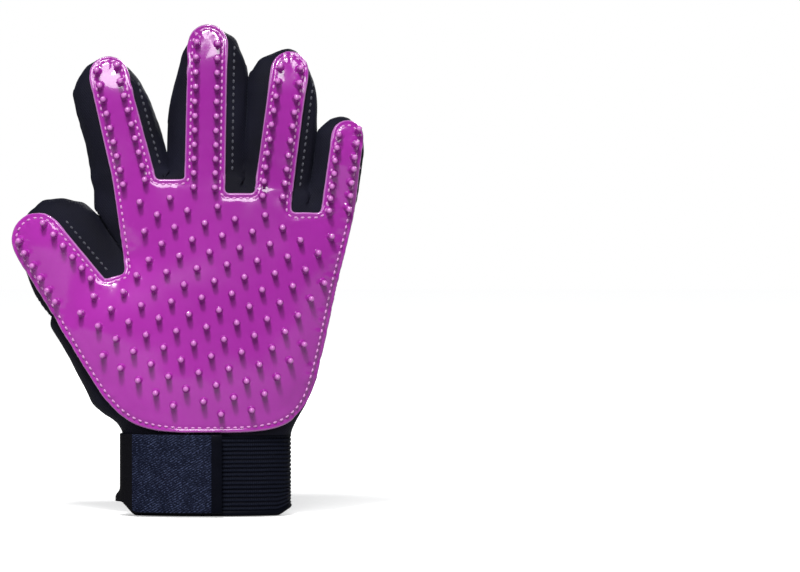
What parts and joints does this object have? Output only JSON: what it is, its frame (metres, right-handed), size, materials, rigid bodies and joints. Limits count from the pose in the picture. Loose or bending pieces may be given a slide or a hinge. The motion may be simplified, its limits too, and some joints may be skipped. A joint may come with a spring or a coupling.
{
  "type": "grooming glove",
  "caption": "Knit pet grooming glove with a moulded rubber palm pad covered in soft pins, hollow finger sleeves that bend, a ribbed elastic cuff and a hook-and-loop wrist tab.",
  "frame": {"origin": "centre of the wrist opening, in the plane of the cuff's hem", "axes": "+Z toward the fingertips, -Y out of the palm side with the pins, -X toward the thumb"},
  "size_m": [0.1689, 0.0448, 0.235],
  "materials": {
    "black_knit": "matte knit, navy black",
    "magenta_rubber": "glossy moulded rubber",
    "ribbed_elastic": "matte ribbed elastic",
    "strap_webbing": "matte twill with pale flecks",
    "hook_tape": "matte moulded hooks",
    "loop_pile": "matte napped loops",
    "edge_binding": "matte woven tape"
  },
  "bodies": {
    "hand": {"palm_panel": "black_knit", "back_panel": "black_knit", "thumb_side_panel": "black_knit", "little_side_panel": "black_knit", "palm_pad": "magenta_rubber", "thumb_root_pad": "magenta_rubber", "little_root_pad": "magenta_rubber", "cuff_band": "ribbed_elastic", "cuff_hem_binding": "edge_binding", "wrist_seam_tape": "edge_binding", "loop_patch": "loop_pile", "strap_anchor": "strap_webbing"},
    "index_lower": {"index_lower_palm_panel": "black_knit", "index_lower_back_panel": "black_knit", "index_lower_pad": "magenta_rubber"},
    "index_tip": {"index_tip_palm_panel": "black_knit", "index_tip_back_panel": "black_knit", "index_tip_pad": "magenta_rubber"},
    "middle_lower": {"middle_lower_palm_panel": "black_knit", "middle_lower_back_panel": "black_knit", "middle_lower_pad": "magenta_rubber"},
    "middle_tip": {"middle_tip_palm_panel": "black_knit", "middle_tip_back_panel": "black_knit", "middle_tip_pad": "magenta_rubber"},
    "ring_lower": {"ring_lower_palm_panel": "black_knit", "ring_lower_back_panel": "black_knit", "ring_lower_pad": "magenta_rubber"},
    "ring_tip": {"ring_tip_palm_panel": "black_knit", "ring_tip_back_panel": "black_knit", "ring_tip_pad": "magenta_rubber"},
    "little_lower": {"little_lower_palm_panel": "black_knit", "little_lower_back_panel": "black_knit", "little_lower_pad": "magenta_rubber"},
    "little_tip": {"little_tip_palm_panel": "black_knit", "little_tip_back_panel": "black_knit", "little_tip_pad": "magenta_rubber"},
    "thumb_lower": {"thumb_lower_palm_panel": "black_knit", "thumb_lower_back_panel": "black_knit", "thumb_lower_pad": "magenta_rubber"},
    "thumb_tip": {"thumb_tip_palm_panel": "black_knit", "thumb_tip_back_panel": "black_knit", "thumb_tip_pad": "magenta_rubber"},
    "strap": {"strap_tab": "strap_webbing", "hook_field": "hook_tape", "tab_end_binding": "edge_binding"}
  },
  "joints": [
    {"name": "index_knuckle", "type": "hinge", "parent": "hand", "child": "index_lower", "pos_m": [-0.0378, -0.0152, 0.163], "axis": [0.9845, 0, 0.1754], "range_deg": [0, 60], "stiffness_Nm_per_rad": 0.03},
    {"name": "index_middle_joint", "type": "hinge", "parent": "index_lower", "child": "index_tip", "pos_m": [-0.04257, -0.015, 0.18978], "axis": [0.9845, 0, 0.1754], "range_deg": [0, 70], "stiffness_Nm_per_rad": 0.02},
    {"name": "middle_knuckle", "type": "hinge", "parent": "hand", "child": "middle_lower", "pos_m": [-0.0008, -0.0164, 0.163], "axis": [0.9997, 0, -0.0227], "range_deg": [0, 60], "stiffness_Nm_per_rad": 0.03},
    {"name": "middle_middle_joint", "type": "hinge", "parent": "middle_lower", "child": "middle_tip", "pos_m": [-0.00003, -0.0152, 0.19699], "axis": [0.9997, 0, -0.0227], "range_deg": [0, 70], "stiffness_Nm_per_rad": 0.02},
    {"name": "ring_knuckle", "type": "hinge", "parent": "hand", "child": "ring_lower", "pos_m": [0.0331, -0.0164, 0.156], "axis": [0.9962, 0, -0.0872], "range_deg": [0, 60], "stiffness_Nm_per_rad": 0.03},
    {"name": "ring_middle_joint", "type": "hinge", "parent": "ring_lower", "child": "ring_tip", "pos_m": [0.03606, -0.0148, 0.18987], "axis": [0.9962, 0, -0.0872], "range_deg": [0, 70], "stiffness_Nm_per_rad": 0.02},
    {"name": "little_knuckle", "type": "hinge", "parent": "hand", "child": "little_lower", "pos_m": [0.0609, -0.0144, 0.1475], "axis": [0.9903, 0, -0.1392], "range_deg": [0, 60], "stiffness_Nm_per_rad": 0.03},
    {"name": "little_middle_joint", "type": "hinge", "parent": "little_lower", "child": "little_tip", "pos_m": [0.06374, -0.0138, 0.1677], "axis": [0.9903, 0, -0.1392], "range_deg": [0, 70], "stiffness_Nm_per_rad": 0.02},
    {"name": "thumb_knuckle", "type": "hinge", "parent": "hand", "child": "thumb_lower", "pos_m": [-0.0548, -0.0172, 0.1093], "axis": [0.829, 0, 0.5592], "range_deg": [0, 50], "stiffness_Nm_per_rad": 0.03},
    {"name": "thumb_middle_joint", "type": "hinge", "parent": "thumb_lower", "child": "thumb_tip", "pos_m": [-0.06671, -0.0168, 0.12696], "axis": [0.829, 0, 0.5592], "range_deg": [0, 60], "stiffness_Nm_per_rad": 0.02},
    {"name": "strap_hinge", "type": "hinge", "parent": "hand", "child": "strap", "pos_m": [-0.0426, -0.0008, 0.0203], "axis": [0, 0, -1], "range_deg": [0, 150]}
  ]
}
